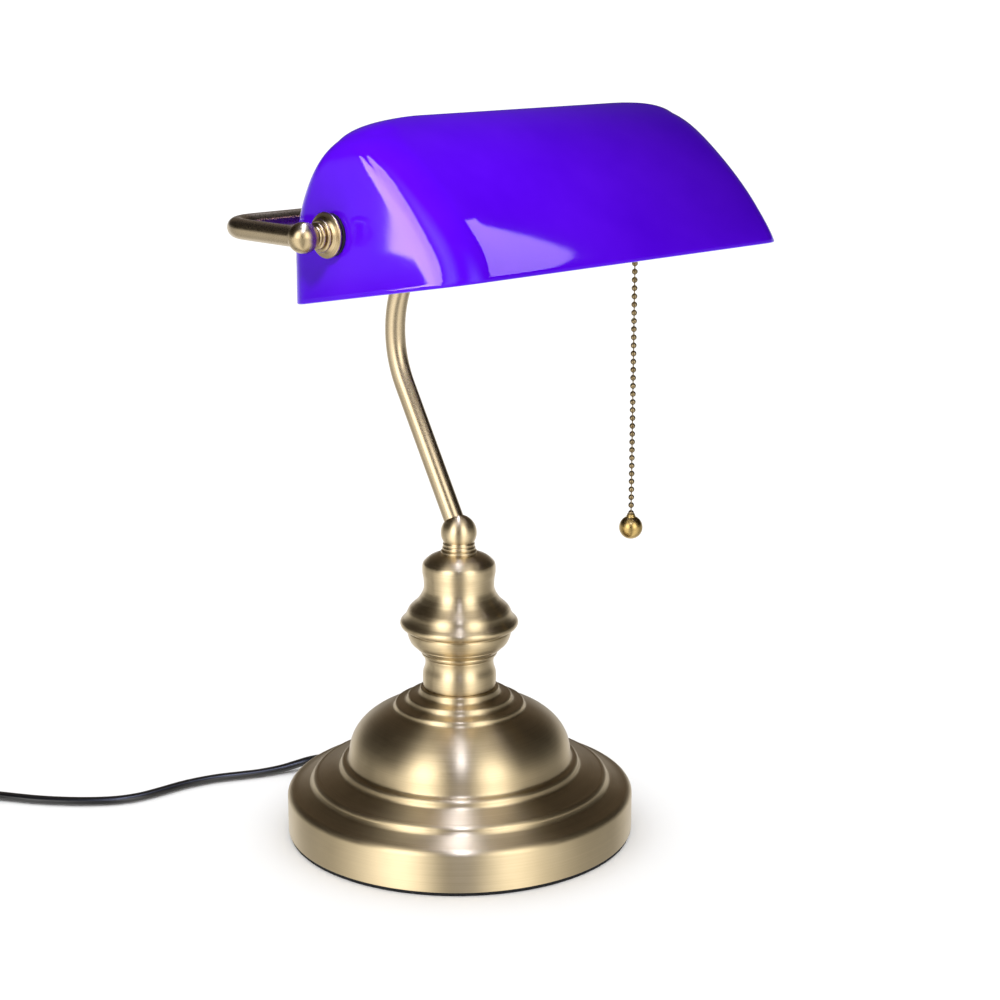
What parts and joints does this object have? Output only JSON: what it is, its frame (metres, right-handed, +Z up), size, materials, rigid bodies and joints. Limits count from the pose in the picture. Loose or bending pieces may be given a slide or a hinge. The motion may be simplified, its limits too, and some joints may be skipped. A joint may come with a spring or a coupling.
{
  "type": "banker desk lamp",
  "caption": "Desk lamp with a tilting trough-shaped glass shade on a two-armed yoke, a turned column, a weighted round base and a pull-chain socket.",
  "frame": {"origin": "centre of the base's underside, on the table", "axes": "+Z up; X along the shade, the yoke's bar and the pivot line; the lamp's front, where the shade overhangs and the chain hangs, faces -Y; the cord leaves at +Y"},
  "size_m": [0.4084, 0.3953, 0.3948],
  "materials": {
    "satin_brass": "antique satin, lathe-brushed",
    "weight_iron": "rough cast, black",
    "plate_steel": "zinc plated",
    "tube_steel": "yellow zinc plated, threaded",
    "felt": "pressed felt",
    "black_rubber": "matte",
    "nylon": "moulded nylon",
    "cord_black": "flexible PVC, satin",
    "lead_brown": "flexible insulation",
    "shade_purple": "gloss, cased",
    "bakelite": "moulded phenolic",
    "fibre_liner": "pressed fibre",
    "contact_brass": "bright",
    "chain_brass": "antique",
    "ball_brass": "polished",
    "cap_nickel": "bright, rolled thread",
    "cap_insulator": "moulded",
    "bulb_opal": "frosted",
    "bulb_phosphor": "coated",
    "pin_nickel": "nickel plated"
  },
  "bodies": {
    "lamp": {"base_shell": "satin_brass", "column_foot": "satin_brass", "column_bell": "satin_brass", "neck_collar": "satin_brass", "column_ball": "satin_brass", "stem_tube": "satin_brass", "yoke_tee": "satin_brass", "yoke_arm_left": "satin_brass", "yoke_arm_right": "satin_brass", "pivot_ball_left": "satin_brass", "pivot_ball_right": "satin_brass", "pivot_collar_left": "satin_brass", "pivot_collar_right": "satin_brass", "pivot_flange_left": "satin_brass", "pivot_flange_right": "satin_brass", "backing_washers": "satin_brass", "pivot_nuts": "satin_brass", "socket_cap": "satin_brass", "socket_shell": "satin_brass", "chain_guide": "satin_brass", "base_weight": "weight_iron", "base_plate": "plate_steel", "plate_screws": "plate_steel", "rod_washer": "plate_steel", "rod_nut": "plate_steel", "column_rod": "tube_steel", "pivot_nipple_left": "tube_steel", "pivot_nipple_right": "tube_steel", "base_pad": "felt", "terminal_block": "nylon", "cord_relief": "cord_black", "cord_inner_end": "cord_black", "mains_cord": "cord_black", "cord_coil": "cord_black", "cord_tail": "cord_black", "cord_tie": "cord_black", "plug_body": "cord_black", "inner_lead": "lead_brown", "socket_body": "bakelite", "socket_sleeve": "fibre_liner", "screw_shell": "contact_brass", "centre_contact": "contact_brass", "bulb_cap": "cap_nickel", "bulb_insulator": "cap_insulator", "bulb_glass": "bulb_opal", "bulb_filament": "bulb_phosphor", "plug_pins": "pin_nickel"},
    "shade": {"shade_glass": "shade_purple", "outer_washer_left": "black_rubber", "outer_washer_right": "black_rubber", "inner_washer_left": "black_rubber", "inner_washer_right": "black_rubber", "pivot_bushes": "nylon"},
    "switch": {"switch_lever": "contact_brass"},
    "chain_top": {"chain_top_bead": "chain_brass"},
    "chain_link": {"chain_link_bead": "chain_brass"},
    "chain": {"pull_chain": "chain_brass", "pull_ball": "ball_brass"}
  },
  "joints": [
    {"name": "shade_tilt", "type": "hinge", "parent": "lamp", "child": "shade", "pos_m": [0, -0.0353, 0.341], "axis": [1, 0, 0], "range_deg": [-40, 38]},
    {"name": "chain_pull", "type": "slide", "parent": "lamp", "child": "chain_top", "axis": [0, 0, -1], "range_m": [0, 0.008], "stiffness_N_per_m": 700, "springref_m": -0.003},
    {"name": "lever_pull", "type": "slide", "parent": "lamp", "child": "switch", "axis": [0, -0.7071, -0.7071], "range_m": [0, 0.008]},
    {"name": "chain_swing_front", "type": "hinge", "parent": "chain_top", "child": "chain_link", "pos_m": [0.0796, -0.05227, 0.32403], "axis": [1, 0, 0], "range_deg": [-12, 12]},
    {"name": "chain_swing_side", "type": "hinge", "parent": "chain_link", "child": "chain", "pos_m": [0.0796, -0.05227, 0.31963], "axis": [0, 1, 0], "range_deg": [-12, 12]}
  ],
  "couplings": [
    {"joint": "lever_pull", "follows": "chain_pull", "ratio": 1}
  ]
}
